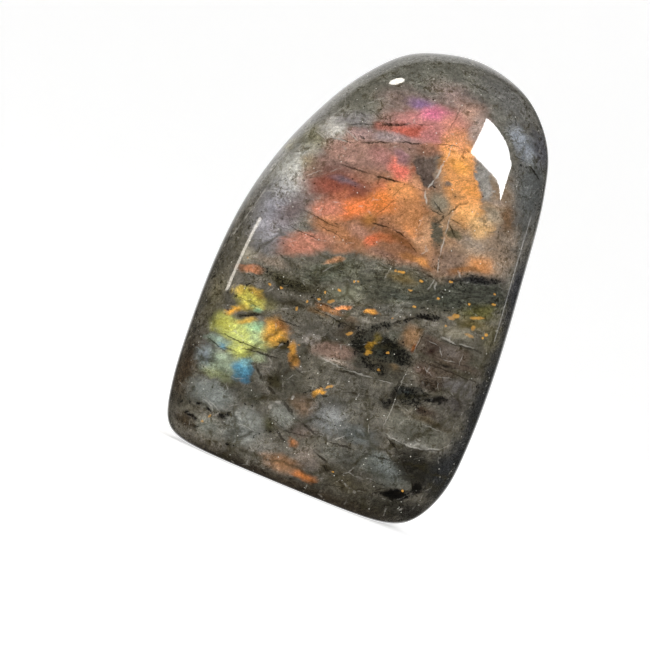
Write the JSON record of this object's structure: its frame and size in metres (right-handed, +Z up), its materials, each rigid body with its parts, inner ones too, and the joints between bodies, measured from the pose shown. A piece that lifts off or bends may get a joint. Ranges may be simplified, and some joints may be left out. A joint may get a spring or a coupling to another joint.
{
  "type": "polished labradorite freeform",
  "caption": "Polished labradorite freeform: an arch-shaped stone with a domed face and back, soft bevelled flanks and a flat cut base to stand on.",
  "frame": {"origin": "middle of the bounding box, at the flat cut base", "axes": "+Z up from the base to the top of the arch, -Y out of the face that carries the flash, +X to the right seen from the front"},
  "size_m": [0.0614, 0.034, 0.0927],
  "materials": {
    "polished_labradorite": "high polish over dark grey-green feldspar with orange, gold, blue-green and magenta flash"
  },
  "bodies": {
    "root": {"labradorite": "polished_labradorite"}
  },
  "joints": []
}
